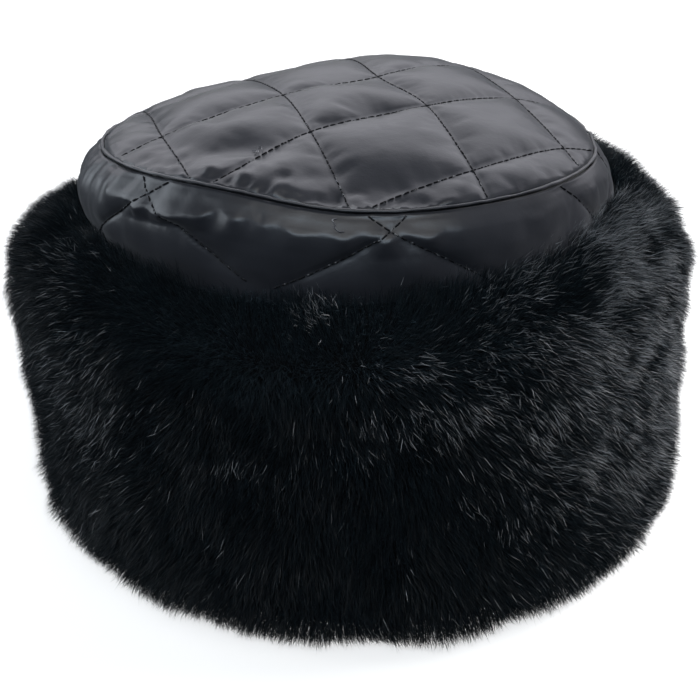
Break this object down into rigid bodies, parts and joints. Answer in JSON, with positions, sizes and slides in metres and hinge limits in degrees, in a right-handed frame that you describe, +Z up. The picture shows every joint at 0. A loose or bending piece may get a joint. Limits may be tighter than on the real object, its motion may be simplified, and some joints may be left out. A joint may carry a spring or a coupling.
{
  "type": "faux-fur cuffed pillbox hat",
  "caption": "Winter pillbox hat with a domed, diamond-quilted satin crown and a deep cuff of black faux fur, standing on its cuff.",
  "frame": {"origin": "on the surface that the hat stands on, under the middle of the cuff's footprint", "axes": "+Z up through the crown, +X across the head at its widest, front of the hat towards -Y"},
  "size_m": [0.2597, 0.2545, 0.1603],
  "materials": {
    "quilted_satin": "padded satin with a soft sheen, charcoal black, quilted in diamonds with dark thread",
    "welt_satin": "folded satin edge, charcoal black, topstitched",
    "faux_fur": "dense soft faux fur, deep black with a faint blue-grey sheen"
  },
  "bodies": {
    "root": {"crown_top": "quilted_satin", "crown_side": "quilted_satin", "rim_welt": "welt_satin", "fur_cuff": "faux_fur"}
  },
  "joints": []
}
